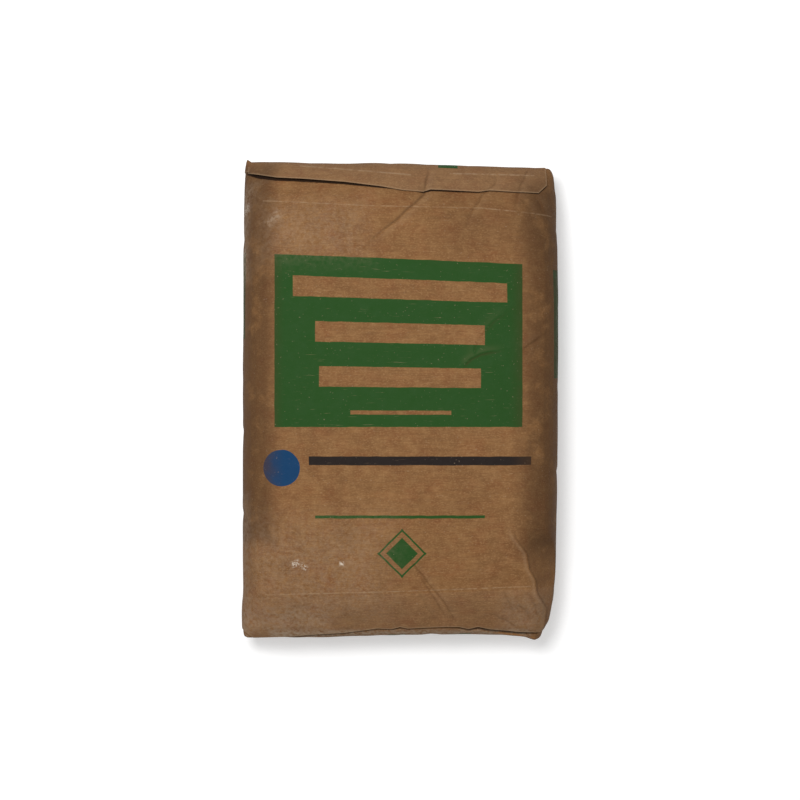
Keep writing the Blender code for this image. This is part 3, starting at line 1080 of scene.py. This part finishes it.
def kraft_paper(name, printed_sides, veil):
    """Unbleached paper, printed, worn and soiled, with painted shade and highlight
    at its sides, folds, gaps and cut edges. veil is the share of an even coat of dust.
    """
    material = bpy.data.materials.new(name)
    material.use_nodes = True
    tree = material.node_tree
    shader = tree.nodes["Principled BSDF"]
    place = add_node(tree, "ShaderNodeTexCoord").outputs["Object"]
    colour = layer(tree, paper_colour(tree, place), CEMENT_DUST, veil)
    ink_left = blots(tree, place, 3.0, 4.0, 0.02, 0.24)
    colour = print_sack(tree, colour, place, printed_sides, ink_left)

    shade_and_stain_blots = blots(tree, place, 24.0, 5.0, 0.20, 0.48)
    dust_grit = blots(tree, place, 5.0, 5.0, 0.34, 0.62)
    fine_grit = blots(tree, place, 2.4, 3.0, 0.44, 0.58)
    broken = blots(tree, place, 7.0, 4.0, 0.36, 0.58)
    sides = sides_of_the_sack(tree, place)
    colour = lay_patches(tree, colour, sides, SHADED_AND_DIRTY_PLACES, SHADE_AND_DIRT_BROWN, shade_and_stain_blots)
    colour = lay_patches(tree, colour, sides, DUSTY_PLACES, CEMENT_DUST, dust_grit)
    colour = lay_patches(tree, colour, sides, WHITE_PLACES, LIME_WHITE, fine_grit)
    colour = floor_dust(tree, colour, place, dust_grit)
    colour = rule_marks(tree, colour, place, broken)
    for over_hex, size_mm, detail, low, high, longer, turn_deg, share in WEAR_TONES:
        spread = blots(tree, place, size_mm, detail, low, high, longer, turn_deg)
        colour = layer(tree, colour, over_hex, spread, share)
    for mark, over_hex, strength in POINT_MARKS:
        amount = add_node(tree, "ShaderNodeAttribute", attribute_name=mark).outputs["Fac"]
        colour = layer(tree, colour, over_hex, amount, strength)
    tree.links.new(colour, shader.inputs["Base Color"])
    shader.inputs["Specular IOR Level"].default_value = 0.2

    links = {"Value": blots(tree, place, 11.0, 3.0, 0.2, 0.8), "To Min": ROUGHNESS[0], "To Max": ROUGHNESS[1]}
    rough = add_node(tree, "ShaderNodeMapRange", links)
    tree.links.new(rough.outputs[0], shader.inputs["Roughness"])
    cockle = blots(tree, place, COCKLE_MM, 4.0, 0.2, 0.8)
    tooth = blots(tree, place, TOOTH_MM, 3.0, 0.2, 0.8, longer=2.0)
    links = {0: cockle, 1: COCKLE_TO_TOOTH, 2: tooth}
    height = add_node(tree, "ShaderNodeMath", links, operation="MULTIPLY_ADD")
    links = {"Height": height.outputs[0], "Strength": 0.6, "Distance": RELIEF_HEIGHT}
    relief = add_node(tree, "ShaderNodeBump", links)
    tree.links.new(relief.outputs[0], shader.inputs["Normal"])
    return material


SACK_PRINT = ("face", "right side", "left side", "bottom end")
printed_kraft = kraft_paper("printed kraft paper", SACK_PRINT, veil=0.0)
plain_kraft = kraft_paper("plain kraft paper", (), veil=0.06)
dusty_kraft = kraft_paper("dusty kraft paper", ("top end",), veil=0.10)
for piece, material in (
    (sack, printed_kraft),
    (top_flap, dusty_kraft),
    (bottom_flap, plain_kraft),
    (sleeve, dusty_kraft),
):
    piece.data.materials.clear()
    piece.data.materials.append(material)
print("nodes in the printed paper:", len(printed_kraft.node_tree.nodes))

# %% [markdown]
# ## Join the pieces to the imported model

# %% Attach each piece to the root and hide the imported solid that it replaces
for piece, node, slot in (
    (sack, "sack_body", "kraft_paper"),
    (top_flap, "top_end_flap", "end_flap_paper"),
    (bottom_flap, "bottom_end_flap", "end_flap_paper"),
    (sleeve, "valve_sleeve", "sleeve_paper"),
):
    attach(piece, "root")
    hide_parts(node)
